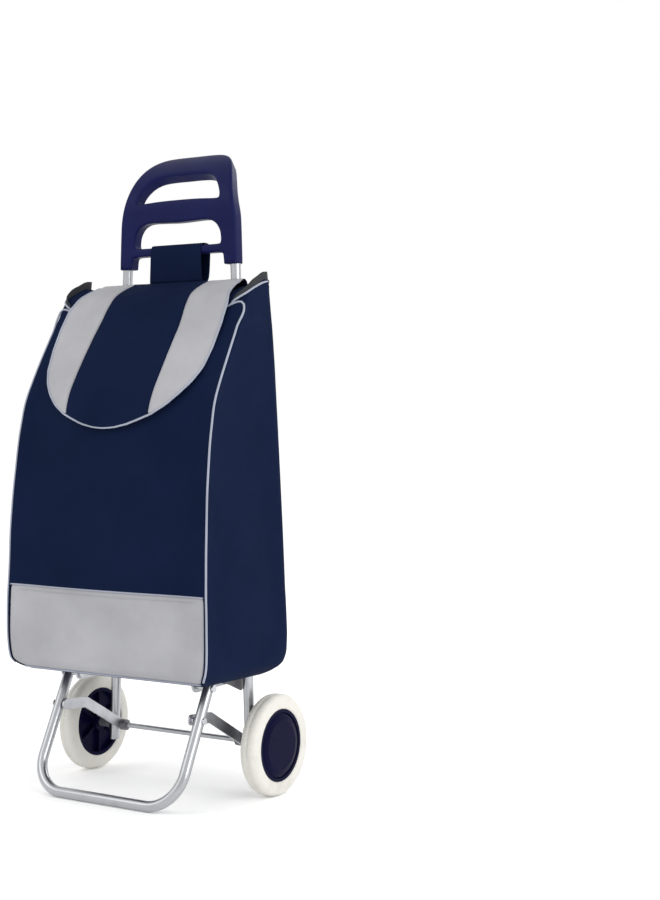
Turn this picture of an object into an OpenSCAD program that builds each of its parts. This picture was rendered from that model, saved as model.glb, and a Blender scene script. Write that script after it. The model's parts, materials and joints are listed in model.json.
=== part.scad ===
// Folding shopping trolley: tube frame, plastic handle, folding load platform
// with a tubular foot, two wheels on one axle, and a soft bag with a flap.
// Millimetres, +Z up, front of the bag towards -Y, floor at Z = 0.
// Profiles are written in [Y, Z] pairs measured from the axle line.

/* [Wheels] */
// Wheel diameter over the tyre
wheel_d = 152; // [140:1:170]
// Tyre width
tyre_w = 27; // [22:1:30]
// Hub diameter inside the tyre
hub_d = 107.8; // [96:0.2:116]
// Distance between the two wheel mid planes
track = 349; // [345:1:360]
// Axle rod diameter
axle_d = 8; // [7.8:0.1:8.4]

/* [Frame] */
// Diameter of the steel tubes
tube_d = 16; // [14:0.5:16]
// Wall thickness of the tubes
tube_wall = 1.2; // [1:0.1:1.5]
// Half distance between the side tubes beside the wheels
tube_x_low = 131; // [130.5:0.5:132]
// Angle at which the side tubes lean in towards the handle, in degrees
tube_tilt = 2.1; // [1.9:0.1:2.2]

/* [Handle] */
// Height of the top of the handle
handle_top = 975; // [965:1:980]
// Height of the lower end of the handle sleeves
handle_low = 801; // [796:1:806]
// Thickness of the handle moulding
handle_t = 22; // [20:0.5:24]
// Radius of the backward curl of the grip
curl_r = 96; // [90:1:110]

/* [Platform and foot] */
// Height of the floor bar centre above the floor
foot_z = 8; // [8:0.5:10]
// Distance of the floor bar in front of the axle
foot_y = 193.5; // [188:0.5:198]
// Half distance between the foot legs
leg_x = 133; // [133:0.5:134]
// Centre line radius of the bends in the foot
foot_bend_r = 53; // [40:1:60]

/* [Bag] */
// Half width of the bag
bag_x = 186; // [180:1:190]
// Thickness of the fabric walls
cloth_t = 3; // [2:0.5:4]
// Height of the seam above the pale lower band
seam_z = 313.5; // [300:0.5:330]
// Half width of the flap
flap_x = 150; // [140:1:155]
// Half width of the hanging loop
loop_x = 50; // [30:1:60]

/* [Hidden] */
$fn = 48;
e = 0.1;
wheel_r = wheel_d / 2;
axle_z = wheel_r;
axle_y = (foot_y + tube_d / 2 - wheel_r) / 2;
axle_r = axle_d / 2;
run_r = axle_r + 0.05;
fix_gap = 0.1;
tube_r = tube_d / 2;
bore_r = tube_r - tube_wall;
hub_r = hub_d / 2;
tyre_in_r = hub_r + fix_gap;
pin_r = 3;
pin_run = pin_r + 0.05;

// Pivots in [Y, Z]
pivot_b = [-38, 174];
pivot_a = [-112, 172];
leg_vec = pivot_a - [-foot_y, foot_z];
leg_len = norm(leg_vec);
leg_lean = atan2(leg_vec[0], leg_vec[1]);
pivot_c = pivot_a - leg_vec / leg_len * 50;
knee = [-88, 124];
axle_pt = [0, axle_z];

// Layers across the width, measured to the inner face
rail_x = 109;
gusset_x = 113;
strut_x = 117.5;
plate_t = 3;

// Bag profile, outer face, from the lower back corner round the front
bag_back = -10.5;
bag_low = 186;
bag_profile = [
    [bag_back, 204], [-16, 191], [-30, bag_low],
    [-160, 181], [-178, 184], [-190, 196],
    [-192, 240], [-191, 310], [-189, 380], [-184, 460], [-175, 530],
    [-164, 585], [-142, 628], [-121, 663], [-100, 700], [-83, 730],
    [-68, 749], [-40, 760], [-20, 765], [bag_back, 767]
];

// Where the sides of the bag hang back outside the tubes
lobe_x = 143;
lobe_profile = [
    [-30, 187], [-3, 189], [10, 198], [16, 214], [16.5, 250], [12, 353],
    [-2, 643], [bag_back, 750], [-30, 750]
];
lobe_inner = [
    [-33, 190], [-4, 192], [7.5, 200], [13, 215], [13.5, 250], [9, 353],
    [-5, 643], [-13.5, 740], [-33, 740]
];

// Flap profile, outer face, from the hinge line down over the front
flap_profile = [
    [-20.5, 775], [-42, 768.5], [-72.3, 753.1], [-88, 733.4], [-105.1, 703.2],
    [-126.1, 666.2], [-147.6, 631.5], [-170, 589], [-177.8, 546]
];
flap_t = 3;

// Moves a sub-part from the axle line to the row frame
module place() {
    translate([0, axle_y, 0]) children();
}

// Copies a sub-part to both sides
module both_sides() {
    children();
    mirror([1, 0, 0]) children();
}

// Extrudes a [Y, Z] outline along X between x0 and x1
module side_plate(x0, x1) {
    translate([x0, 0, 0])
        rotate([90, 0, 90])
            linear_extrude(height = x1 - x0)
                children();
}

// Rod or bore along X at a [Y, Z] point
module rod_x(pt, r, x0, x1) {
    translate([x0, pt[0], pt[1]])
        rotate([0, 90, 0])
            cylinder(r = r, h = x1 - x0);
}

// Bar outline between two [Y, Z] points, with round ends
module bar_2d(p, q, r) {
    hull() {
        translate(p) circle(r = r, $fn = 32);
        translate(q) circle(r = r, $fn = 32);
    }
}

// ---- Frame ----

tube_y = -1;
tube_foot = -24;
tube_head = 802;

function tube_x(z) = tube_x_low - (z - axle_z) * tan(tube_tilt);

// Rod on the leaning line of the right side tube, lengths from axle height
module leaning_rod(r, z0, z1) {
    translate([tube_x_low, tube_y, axle_z])
        rotate([0, -tube_tilt, 0])
            translate([0, 0, z0])
                cylinder(r = r, h = z1 - z0);
}

module side_tube() {
    color("silver")
        difference() {
            leaning_rod(tube_r, tube_foot, tube_head);
            leaning_rod(bore_r, tube_foot - 1, tube_head + 1);
            rod_x(axle_pt, axle_r + fix_gap, 100, 150);
            rod_x([tube_y, 186], 2.6, 100, tube_x(186));
            translate([tube_x(838), tube_y, 838]) rotate([-90, 0, 0]) cylinder(r = 2.1, h = 20);
            rod_x([tube_y, 560], 4.1, 80, tube_x(560));
            rod_x([tube_y, 206], 4.1, 80, tube_x(206));
        }
}

module left_side_tube() {
    place() mirror([1, 0, 0]) side_tube();
}

module right_side_tube() {
    place() side_tube();
}

// Thin rod between the tubes, let into holes in their inner walls
module crossbar(pt, half) {
    color("silver")
        place()
            rod_x(pt, 4, -half, half);
}

module upper_crossbar() {
    crossbar([tube_y, 560], tube_x(560) - 3);
}

module lower_crossbar() {
    crossbar([tube_y, 206], tube_x(206) - 3);
}

module crossbar_rivets() {
    color("gainsboro")
        place()
            both_sides()
                for (z = [206, 560])
                    rod_x([tube_y, z], 4, tube_x(z) + tube_r + 0.4, tube_x(z) + tube_r + 2);
}

// ---- Handle ----

curl_z = handle_top - curl_r * sin(60) - 5;

// Side profile of the moulding: straight below, curled back above
module handle_side() {
    cy = -2 + curl_r;
    polygon(concat(
        [[-2 - handle_t / 2, handle_low], [-2 - handle_t / 2, curl_z]],
        [for (a = [5 : 5 : 60]) [cy - (curl_r + handle_t / 2) * cos(a),
            curl_z + (curl_r + handle_t / 2) * sin(a)]],
        [for (a = [60 : -5 : 5]) [cy - (curl_r - handle_t / 2) * cos(a),
            curl_z + (curl_r - handle_t / 2) * sin(a)]],
        [[-2 + handle_t / 2, curl_z], [-2 + handle_t / 2, handle_low]]
    ));
}

// One half of the handle outline in [X, Z]
handle_half = [
    [0, handle_top + 6], [58, handle_top + 4], [76, handle_top - 6], [91, handle_top - 22],
    [101, handle_top - 44], [107, handle_top - 70], [111, handle_top - 100],
    [114.5, 840], [116.5, handle_low]
];
handle_inner = [[89.5, handle_low], [87, 820], [0, 820]];
upper_window = [[0, 938], [60, 936], [72, 930], [80, 918], [83, 904], [50, 903], [0, 902]];
lower_window = [
    [0, 867], [45, 867], [66, 863], [77, 855], [81, 846], [82, 833.5], [0, 833.5]
];

function mirrored(pts) = concat(pts, [for (i = [len(pts) - 1 : -1 : 0]) [-pts[i][0], pts[i][1]]]);

module handle_front() {
    difference() {
        polygon(mirrored(concat(handle_half, handle_inner)));
        polygon(mirrored(upper_window));
        polygon(mirrored(lower_window));
    }
}

module handle() {
    color("midnightblue")
        place()
            difference() {
                intersection() {
                    translate([0, 120, 0])
                        rotate([90, 0, 0])
                            linear_extrude(height = 240)
                                handle_front();
                    side_plate(-130, 130) handle_side();
                }
                both_sides()
                    leaning_rod(tube_r + fix_gap, 600, tube_head + 0.3);
                both_sides()
                    translate([tube_x(838), 0, 838])
                        rotate([-90, 0, 0])
                            cylinder(r = 2.1, h = 14);
            }
}

module handle_screws() {
    color("gainsboro")
        place()
            both_sides() {
                translate([tube_x(838), -2 + handle_t / 2 + 0.1, 838])
                    rotate([-90, 0, 0])
                        cylinder(r = 4, h = 1.5);
                translate([tube_x(838), 3, 838])
                    rotate([-90, 0, 0])
                        cylinder(r = 2, h = handle_t / 2 - 4.8);
            }
}

// ---- Platform pivots on the frame ----

module gusset_2d() {
    difference() {
        union() {
            polygon([[-2, 192], [-9, 190], [-34, 183], [-44, 176], [-36, 166], [-2, 152], [5, 156], [5, 190]]);
            translate(pivot_b) circle(r = 8);
        }
        translate(pivot_b) circle(r = pin_run);
        translate([tube_y, 186]) circle(r = 2.6);
    }
}

module pivot_gussets() {
    color("dimgray")
        place()
            both_sides()
                side_plate(gusset_x, gusset_x + plate_t) gusset_2d();
}

bolt_pt = [tube_y, 186];

// Bolt and spacer that tie each gusset to its side tube
module gusset_bolts() {
    color("gainsboro")
        place()
            both_sides() {
                rod_x(bolt_pt, 2.5, gusset_x - 0.3, tube_x(186) - 1);
                rod_x(bolt_pt, 5, gusset_x - 3, gusset_x - 0.2);
                difference() {
                    rod_x(bolt_pt, 4.5, gusset_x + plate_t + e, tube_x(186) - tube_r - 0.3);
                    rod_x(bolt_pt, 2.4, gusset_x, tube_x_low);
                }
            }
}

// ---- Axle ----

axle_end = track / 2 + 10.5;

module axle() {
    color("silver")
        place()
            rod_x(axle_pt, axle_r, -axle_end, axle_end);
}

module ring_x(pt, r_out, r_in, x0, x1) {
    difference() {
        rod_x(pt, r_out, x0, x1);
        rod_x(pt, r_in, x0 - 1, x1 + 1);
    }
}

module axle_collars() {
    color("dimgray")
        place()
            both_sides()
                ring_x(axle_pt, 8.5, axle_r + fix_gap, 107, strut_x - 0.4);
}

module axle_spacers() {
    color("gray")
        place()
            both_sides()
                ring_x(axle_pt, 7, axle_r + fix_gap, tube_x_low + tube_r + 0.7, track / 2 - 14.5);
}

module axle_push_nuts() {
    color("gainsboro")
        place()
            both_sides()
                ring_x(axle_pt, 9, axle_r + fix_gap, track / 2 + 8.5, track / 2 + 10.2);
}

// ---- Wheels ----

// Turns a half profile in [radius, outward] round the axle on the +X side
module wheel_ring() {
    translate([track / 2, 0, axle_z])
        rotate([0, 90, 0])
            rotate_extrude($fn = 96)
                children();
}

module rounded_rect(x0, x1, y0, y1, r) {
    translate([x0 + r, y0]) square([x1 - x0 - 2 * r, y1 - y0]);
    translate([x0, y0 + r]) square([x1 - x0, y1 - y0 - 2 * r]);
    for (x = [x0 + r, x1 - r], y = [y0 + r, y1 - r])
        translate([x, y]) circle(r = r);
}

module tyre() {
    h = tyre_w / 2;
    color("ghostwhite")
        wheel_ring() {
            difference() {
                union() {
                    translate([tyre_in_r, -h + 1]) square([4, 2 * h - 2]);
                    rounded_rect(tyre_in_r + 1, wheel_r, -h, h, 8);
                }
                translate([0, -h - 1]) square([tyre_in_r, 2 * h + 2]);
            }
        }
}

module hub() {
    color("midnightblue")
        wheel_ring() {
            translate([hub_r - 5, -12]) square([5, 24]);
            translate([13, -4]) square([hub_r - 14, 5]);
            translate([run_r, -13.5]) square([9.95, 21.5]);
        }
    color("midnightblue")
        translate([track / 2, 0, axle_z])
            for (a = [0 : 60 : 300])
                rotate([a, 0, 0])
                    translate([-11, -1.5, 12])
                        cube([8, 3, hub_r - 16]);
}

module hub_cap() {
    color("midnightblue")
        wheel_ring() {
            polygon([
                [0, 12.2], [36, 12.2], [43, 10.2], [hub_r - 5.3, 7.6],
                [hub_r - 5.3, 10.2], [44, 12.6], [37, 14.2], [0, 14.2]
            ]);
        }
}

module left_tyre() {
    place() mirror([1, 0, 0]) tyre();
}

module left_hub() {
    place() mirror([1, 0, 0]) hub();
}

module left_hub_cap() {
    place() mirror([1, 0, 0]) hub_cap();
}

module right_tyre() {
    place() tyre();
}

module right_hub() {
    place() hub();
}

module right_hub_cap() {
    place() hub_cap();
}

// ---- Platform ----

module rail() {
    color("lightgray")
        side_plate(rail_x, rail_x + plate_t)
            difference() {
                bar_2d(pivot_b, pivot_a, 8.5);
                translate(pivot_b) circle(r = pin_r + fix_gap);
                translate(pivot_a) circle(r = pin_r + fix_gap);
                translate([-76, 173]) circle(r = 4.1);
            }
}

module left_rail() {
    place() mirror([1, 0, 0]) rail();
}

module right_rail() {
    place() rail();
}

module platform_crossbar() {
    color("silver")
        place()
            rod_x([-76, 173], 4, -rail_x - plate_t - 1, rail_x + plate_t + 1);
}

// Pins fixed in the rails: rear ones turn in the gussets, front ones in the legs
module platform_pins() {
    color("gainsboro")
        place()
            both_sides() {
                rod_x(pivot_b, pin_r, rail_x - 0.8, gusset_x + plate_t + 0.8);
                rod_x(pivot_b, 5.5, rail_x - 3, rail_x - 0.2);
                rod_x(pivot_a, pin_r, rail_x - 0.8, leg_x + tube_r + 0.8);
                rod_x(pivot_a, 5.5, rail_x - 3, rail_x - 0.2);
                rod_x(pivot_a, 5.5, leg_x + tube_r + 0.4, leg_x + tube_r + 3);
            }
}

// ---- Foot ----

// U shaped rod in its own plane: X across, Z up along the legs
module u_rod(r, top) {
    for (s = [-1, 1])
        translate([s * leg_x, 0, foot_bend_r])
            cylinder(r = r, h = top - foot_bend_r);
    for (s = [-1, 1])
        translate([s * (leg_x - foot_bend_r), 0, foot_bend_r])
            rotate([90, 0, 0])
                rotate(s > 0 ? -90 : 180)
                    rotate_extrude(angle = 90)
                        translate([foot_bend_r, 0])
                            circle(r = r);
    translate([-leg_x + foot_bend_r, 0, 0])
        rotate([0, 90, 0])
            cylinder(r = r, h = 2 * (leg_x - foot_bend_r));
}

module foot_tube() {
    color("silver")
        place()
            difference() {
                translate([0, -foot_y, foot_z])
                    rotate([-leg_lean, 0, 0])
                        difference() {
                            u_rod(tube_r, leg_len + 5);
                            u_rod(bore_r, leg_len + 5 + e);
                        }
                rod_x(pivot_a, pin_run, -150, 150);
            }
}

module foot_bolts() {
    color("gainsboro")
        place()
            both_sides()
                rod_x(pivot_c, 5, leg_x + tube_r + 0.1, leg_x + tube_r + 2.2);
}

// ---- Struts ----

module strut() {
    color("lightgray") {
        side_plate(strut_x, strut_x + plate_t)
            difference() {
                union() {
                    bar_2d(axle_pt, knee, 8);
                    bar_2d(knee, pivot_c, 8);
                }
                translate(axle_pt) circle(r = run_r);
            }
        rod_x(pivot_c, 4, strut_x + plate_t - e, leg_x - tube_r - 0.5);
    }
}

module left_strut() {
    place() mirror([1, 0, 0]) strut();
}

module right_strut() {
    place() strut();
}

// ---- Bag ----

// Inner profile: the outer one pulled in towards the middle of the bag
function inner_profile() = [
    [bag_back - cloth_t, 205], [-18, 193], [-31, bag_low + cloth_t],
    [-160, 181 + cloth_t], [-176, 187], [-187, 198],
    [-189, 240], [-188, 310], [-186, 380], [-181, 460], [-172, 529],
    [-161, 584], [-139.5, 626], [-118.4, 661.5], [-97.4, 698.5], [-80.3, 728.2],
    [-66, 745.5], [-39, 755], [-22, 757.5], [bag_back - cloth_t, 759]
];

module bag_shell() {
    difference() {
        union() {
            side_plate(-bag_x, bag_x) polygon(bag_profile);
            both_sides() side_plate(lobe_x, bag_x) polygon(lobe_profile);
        }
        side_plate(-bag_x + cloth_t, bag_x - cloth_t) polygon(inner_profile());
        both_sides()
            side_plate(lobe_x + cloth_t, bag_x - cloth_t) polygon(lobe_inner);
    }
}

// Mouth of the bag under the flap, cut out of the top slope
mouth_2d = [[-16, 800], [-16, 764], [-60, 700], [-104, 640], [-160, 700], [-60, 830]];

module bag_mouth() {
    side_plate(-flap_x + 12, flap_x - 12) polygon(mouth_2d);
}

module bag_body() {
    color("midnightblue")
        place()
            difference() {
                bag_shell();
                bag_mouth();
                side_plate(-bag_x + cloth_t + e, bag_x - cloth_t - e)
                    polygon([
                        [-300, 100], [-150, 100], [-150, 187.5], [-176, 200],
                        [-176, seam_z], [-300, seam_z]
                    ]);
            }
}

module bag_front_band() {
    color("lightgray")
        place()
            intersection() {
                bag_shell();
                side_plate(-bag_x + cloth_t + 2 * e, bag_x - cloth_t - 2 * e)
                    polygon([
                        [-300, 100], [-150 - e, 100], [-150 - e, 190], [-175, 201],
                        [-176, seam_z - e], [-300, seam_z - e]
                    ]);
            }
}

// Raised dark rim on the sides of the mouth, above the side panels
module bag_lining_rim() {
    color("dimgray")
        place()
            both_sides()
                side_plate(bag_x - 15, bag_x - 12)
                    polygon([
                        [-92, 714.7], [-83.2, 730.7], [-68.3, 749.9], [-40.2, 760.8], [-19, 766],
                        [-19, 783], [-40, 778], [-70, 764.5], [-88, 741], [-97, 722]
                    ]);
}

module bag_loop() {
    color("midnightblue")
        place()
            side_plate(-loop_x, loop_x)
                difference() {
                    polygon([
                        [-16.2, 768.5], [-16.2, 834], [-13.5, 836.8], [9.5, 836.8],
                        [12.2, 834], [12.2, 768.5]
                    ]);
                    polygon([
                        [-13.6, 771], [-13.6, 833], [-12.8, 834.2], [8.8, 834.2],
                        [9.6, 833], [9.6, 771]
                    ]);
                }
}

// Piping down the front corners of the bag
module bag_piping() {
    seam = [for (i = [6 : 15]) bag_profile[i]];
    color("gainsboro")
        place()
            both_sides()
                side_plate(bag_x - 3.4, bag_x)
                    polygon(concat(
                        [for (p = seam) p + [-0.35, 0.15]],
                        [for (i = [len(seam) - 1 : -1 : 0]) seam[i] + [-2.6, 1.4]]
                    ));
}

module base_board() {
    color("gray")
        place()
            translate([-bag_x + 12, -172, bag_low + cloth_t + 0.6])
                cube([2 * bag_x - 24, 140, 4]);
}

// ---- Flap ----

function flap_under() = [for (i = [len(flap_profile) - 1 : -1 : 0])
    flap_profile[i] - (i == 0 ? [-0.2, flap_t] : flap_t * [-0.83, 0.56])];

flap_half = [
    [0, 552], [52, 556], [96, 574], [128, 606], [145, 640], [flap_x, 672],
    [flap_x, 734], [143, 756], [136, 768], [133, 795]
];

module flap_sheet() {
    side_plate(-flap_x - 10, flap_x + 10)
        polygon(concat(flap_profile, flap_under()));
}

module flap_outline() {
    translate([0, 60, 0])
        rotate([90, 0, 0])
            linear_extrude(height = 300)
                polygon(mirrored(flap_half));
}

module flap_panel() {
    color("midnightblue")
        place()
            intersection() {
                flap_sheet();
                flap_outline();
            }
}

// Bound edge along the free lower border of the flap
module flap_piping() {
    color("gainsboro")
        place()
            intersection() {
                flap_sheet();
                difference() {
                    translate([0, 0, -2.8]) flap_outline();
                    translate([0, 0, -0.15]) flap_outline();
                }
                side_plate(-128, 128) polygon([[-300, 500], [0, 500], [0, 606], [-300, 606]]);
            }
}

left_side_tube();
right_side_tube();
upper_crossbar();
lower_crossbar();
crossbar_rivets();
handle();
handle_screws();
pivot_gussets();
gusset_bolts();
axle();
axle_collars();
axle_spacers();
axle_push_nuts();
bag_body();
bag_front_band();
bag_lining_rim();
bag_loop();
bag_piping();
base_board();
flap_panel();
flap_piping();
left_rail();
right_rail();
platform_crossbar();
platform_pins();
foot_tube();
foot_bolts();
left_strut();
right_strut();
left_tyre();
left_hub();
left_hub_cap();
right_tyre();
right_hub();
right_hub_cap();
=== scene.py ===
"""Folding shopping trolley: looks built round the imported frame. Metres, row frame."""

import json
import math

import bmesh
import bpy
import numpy as np
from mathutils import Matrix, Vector


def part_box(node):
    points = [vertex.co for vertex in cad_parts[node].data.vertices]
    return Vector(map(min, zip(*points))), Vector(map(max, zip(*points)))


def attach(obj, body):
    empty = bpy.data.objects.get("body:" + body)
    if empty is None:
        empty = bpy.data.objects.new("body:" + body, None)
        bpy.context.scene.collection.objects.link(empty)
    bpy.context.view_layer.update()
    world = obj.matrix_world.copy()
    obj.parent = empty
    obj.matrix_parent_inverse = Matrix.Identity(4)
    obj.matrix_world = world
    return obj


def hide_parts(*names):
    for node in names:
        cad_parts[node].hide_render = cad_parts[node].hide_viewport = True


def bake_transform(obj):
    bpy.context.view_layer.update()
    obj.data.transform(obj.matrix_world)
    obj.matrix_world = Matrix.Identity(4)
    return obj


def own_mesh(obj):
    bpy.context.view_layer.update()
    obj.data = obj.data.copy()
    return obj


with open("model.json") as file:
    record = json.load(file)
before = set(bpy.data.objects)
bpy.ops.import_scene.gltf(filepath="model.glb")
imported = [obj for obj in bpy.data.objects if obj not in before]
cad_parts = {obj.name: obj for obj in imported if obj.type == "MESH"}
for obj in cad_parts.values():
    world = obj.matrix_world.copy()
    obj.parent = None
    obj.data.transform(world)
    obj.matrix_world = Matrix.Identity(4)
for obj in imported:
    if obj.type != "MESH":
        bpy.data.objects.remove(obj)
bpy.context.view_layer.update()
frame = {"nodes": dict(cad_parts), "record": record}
nodes = frame["nodes"]

MM = 0.001
AXLE_Y = sum(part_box("axle")[i][1] for i in (0, 1)) / 2
SEAM_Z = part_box("bag_front_band")[1][2]


def yy(y_mm):
    """Millimetres from the axle line to row-frame Y in metres."""
    return AXLE_Y + y_mm * MM


def lin(r, g, b):
    """sRGB bytes to a linear colour."""

    def straighten(c):
        return c / 12.92 if c <= 0.04045 else ((c + 0.055) / 1.055) ** 2.4

    return (straighten(r / 255), straighten(g / 255), straighten(b / 255), 1.0)


# ---------------------------------------------------------------- materials


class Nodes:
    """Small helper for building node trees."""

    def __init__(self, name, rough=0.5, metal=0.0):
        self.mat = bpy.data.materials.new(name)
        self.mat.use_nodes = True
        self.tree = self.mat.node_tree
        self.bsdf = self.tree.nodes["Principled BSDF"]
        self.bsdf.inputs["Roughness"].default_value = rough
        self.bsdf.inputs["Metallic"].default_value = metal
        self.coord = self.add("ShaderNodeTexCoord").outputs["Object"]

    def add(self, kind, **props):
        n = self.tree.nodes.new(kind)
        for k, v in props.items():
            setattr(n, k, v)
        return n

    def link(self, a, b):
        self.tree.links.new(a, b)

    def math(self, op, a, b=0.0):
        n = self.add("ShaderNodeMath", operation=op)
        for i, v in enumerate((a, b)):
            if isinstance(v, (int, float)):
                n.inputs[i].default_value = v
            else:
                self.link(v, n.inputs[i])
        return n.outputs[0]

    def noise(self, scale, detail=3.0, rough=0.5, stretch=(1, 1, 1)):
        m = self.add("ShaderNodeMapping")
        m.inputs["Scale"].default_value = stretch
        self.link(self.coord, m.inputs["Vector"])
        n = self.add("ShaderNodeTexNoise")
        n.inputs["Scale"].default_value = scale
        n.inputs["Detail"].default_value = detail
        n.inputs["Roughness"].default_value = rough
        self.link(m.outputs[0], n.inputs["Vector"])
        return n.outputs["Fac"]

    def ramp(self, fac, stops):
        n = self.add("ShaderNodeValToRGB")
        el = n.color_ramp.elements
        while len(el) < len(stops):
            el.new(0.5)
        for e, (p, c) in zip(el, stops):
            e.position, e.color = p, c
        self.link(fac, n.inputs["Fac"])
        return n.outputs["Color"]

    def spread(self, fac, lo, hi):
        n = self.add("ShaderNodeMapRange")
        n.inputs["To Min"].default_value = lo
        n.inputs["To Max"].default_value = hi
        self.link(fac, n.inputs["Value"])
        return n.outputs[0]

    def bump(self, height, strength, distance):
        n = self.add("ShaderNodeBump")
        n.inputs["Strength"].default_value = strength
        n.inputs["Distance"].default_value = distance
        self.link(height, n.inputs["Height"])
        return n.outputs["Normal"]

    def axes(self):
        n = self.add("ShaderNodeSeparateXYZ")
        self.link(self.coord, n.inputs[0])
        return n.outputs[0], n.outputs[1], n.outputs[2]


def shade(c, k):
    """Colour c made k times as bright."""
    return tuple(min(1.0, v * k) for v in c[:3]) + (1.0,)


def fabric(
    name, colour, thread=0.0011, rough=0.78, sheen=0.06, tint=None, depth=0.00016, gloss=0.05
):
    """Plain woven cloth: crossed threads, soft mottling and rubbed patches."""
    m = Nodes(name, rough)
    x, y, z = m.axes()
    k = 2 * math.pi / thread
    across = m.math("SINE", m.math("MULTIPLY", m.math("ADD", x, y), k))
    slant = m.math("SUBTRACT", z, m.math("MULTIPLY", y, 0.35))
    along = m.math("SINE", m.math("MULTIPLY", slant, k))
    weave = m.math("MULTIPLY", across, along)
    fine = m.noise(900, 2)
    height = m.math("ADD", weave, m.math("MULTIPLY", fine, 0.8))
    m.link(m.bump(height, 0.55, depth), m.bsdf.inputs["Normal"])
    patches = m.math("MULTIPLY", m.noise(9, 4, 0.6), 0.7)
    mottle = m.math("ADD", patches, m.math("MULTIPLY", weave, 0.10))
    stops = [(0.15, shade(colour, 0.80)), (0.42, colour), (0.75, tint or shade(colour, 1.25))]
    m.link(m.ramp(mottle, stops), m.bsdf.inputs["Base Color"])
    m.link(m.spread(m.noise(30, 3), rough - 0.08, rough + 0.08), m.bsdf.inputs["Roughness"])
    m.bsdf.inputs["Sheen Weight"].default_value = sheen
    m.bsdf.inputs["Sheen Roughness"].default_value = 0.45
    m.bsdf.inputs["Sheen Tint"].default_value = shade(colour, 3.0)
    m.bsdf.inputs["Specular IOR Level"].default_value = gloss
    return m.mat


def metal(name, colour, rough=0.28, streak=(1, 1, 1), wear=0.12, metallic=1.0):
    """Drawn steel: fine draw marks, uneven gloss, slightly dulled patches."""
    m = Nodes(name, rough, metallic)
    marks = m.noise(420, 3, 0.6, streak)
    m.link(m.bump(marks, 0.03, 0.00005), m.bsdf.inputs["Normal"])
    patch = m.noise(22, 4, 0.62)
    stops = [(0.25, shade(colour, 1 - wear)), (0.5, colour), (0.8, shade(colour, 1 + wear / 2))]
    m.link(m.ramp(patch, stops), m.bsdf.inputs["Base Color"])
    uneven = m.math("ADD", m.math("MULTIPLY", marks, 0.4), m.math("MULTIPLY", patch, 0.6))
    m.link(m.spread(uneven, rough - 0.05, rough + 0.07), m.bsdf.inputs["Roughness"])
    return m.mat


def plastic(name, colour, rough=0.38, grain=700.0, depth=0.00006, coat=0.0, gloss=0.5):
    """Moulded plastic: fine spark grain, faint flow shading and handling marks."""
    m = Nodes(name, rough)
    g = m.noise(grain, 2)
    m.link(m.bump(g, 0.25, depth), m.bsdf.inputs["Normal"])
    flow = m.noise(14, 3, 0.55)
    stops = [(0.25, shade(colour, 0.85)), (0.55, colour), (0.85, shade(colour, 1.2))]
    m.link(m.ramp(flow, stops), m.bsdf.inputs["Base Color"])
    m.link(m.spread(m.noise(45, 4, 0.65), rough - 0.07, rough + 0.09), m.bsdf.inputs["Roughness"])
    m.bsdf.inputs["Coat Weight"].default_value = coat
    m.bsdf.inputs["Coat Roughness"].default_value = 0.12
    m.bsdf.inputs["Specular IOR Level"].default_value = gloss
    return m.mat


def foam_tyre(name, colour):
    """Foamed EVA tyre: tiny cells, faint scuffs and grey dust on the tread."""
    m = Nodes(name, 0.62)
    cells = m.noise(520, 4, 0.7)
    m.link(m.bump(cells, 0.35, 0.0003), m.bsdf.inputs["Normal"])
    dust = m.noise(26, 5, 0.7)
    stops = [(0.3, shade(colour, 0.88)), (0.48, colour), (0.8, shade(colour, 1.04))]
    m.link(m.ramp(dust, stops), m.bsdf.inputs["Base Color"])
    m.bsdf.inputs["Subsurface Weight"].default_value = 0.05
    m.bsdf.inputs["Subsurface Radius"].default_value = (0.004, 0.004, 0.004)
    return m.mat


NAVY = lin(16, 27, 54)
MATS = {
    "navy_fabric": fabric("navy_cloth", NAVY, tint=lin(21, 33, 64), gloss=0.03),
    "grey_fabric": fabric(
        "grey_cloth", lin(167, 167, 171), sheen=0.03, rough=0.7, depth=0.0001, gloss=0.15
    ),
    "lining_fabric": fabric("lining_cloth", lin(50, 52, 56), thread=0.0009, rough=0.7, gloss=0.1),
    "silver_piping": fabric(
        "piping_cloth", lin(158, 163, 178), thread=0.0012, rough=0.45, sheen=0.05, gloss=0.25
    ),
    "tube_steel": metal("tube_metal", (0.43, 0.44, 0.46, 1), 0.28, (1, 1, 0.08)),
    "zinc_steel": metal("zinc_metal", (0.52, 0.53, 0.56, 1), 0.38, (1, 0.15, 1), 0.2, 0.9),
    "dark_steel": metal("dark_metal", (0.16, 0.16, 0.17, 1), 0.45, metallic=0.6),
    "fastener_steel": metal("fastener_metal", (0.55, 0.56, 0.58, 1), 0.3),
    "navy_handle": plastic("handle_plastic", lin(20, 24, 68), 0.38, gloss=0.07),
    "navy_hub": plastic("hub_plastic", lin(11, 12, 42), 0.26, 500.0, 0.00003, 0.0, 0.03),
    "white_tyre": foam_tyre("tyre_foam", lin(211, 209, 202)),
    "grey_plastic": plastic("grey_plastic_mat", lin(90, 92, 96), 0.5),
}
SLOT_OF = {s["node"]: s["material_slot"] for s in frame["record"]["subparts"]}


def paint(obj, slot):
    obj.data.materials.clear()
    obj.data.materials.append(MATS[slot])


for name, obj in nodes.items():
    paint(obj, SLOT_OF[name])


# ---------------------------------------------------------------- mesh tools


def add_object(name, data):
    """A new object in the scene that holds data."""
    ob = bpy.data.objects.new(name, data)
    bpy.context.scene.collection.objects.link(ob)
    return ob


def shade_smooth(me):
    me.polygons.foreach_set("use_smooth", [True] * len(me.polygons))


def mesh_object(name, verts, faces):
    me = bpy.data.meshes.new(name)
    me.from_pydata([tuple(v) for v in verts], [], faces)
    me.validate()
    me.update()
    ob = add_object(name, me)
    shade_smooth(me)
    return ob


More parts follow.
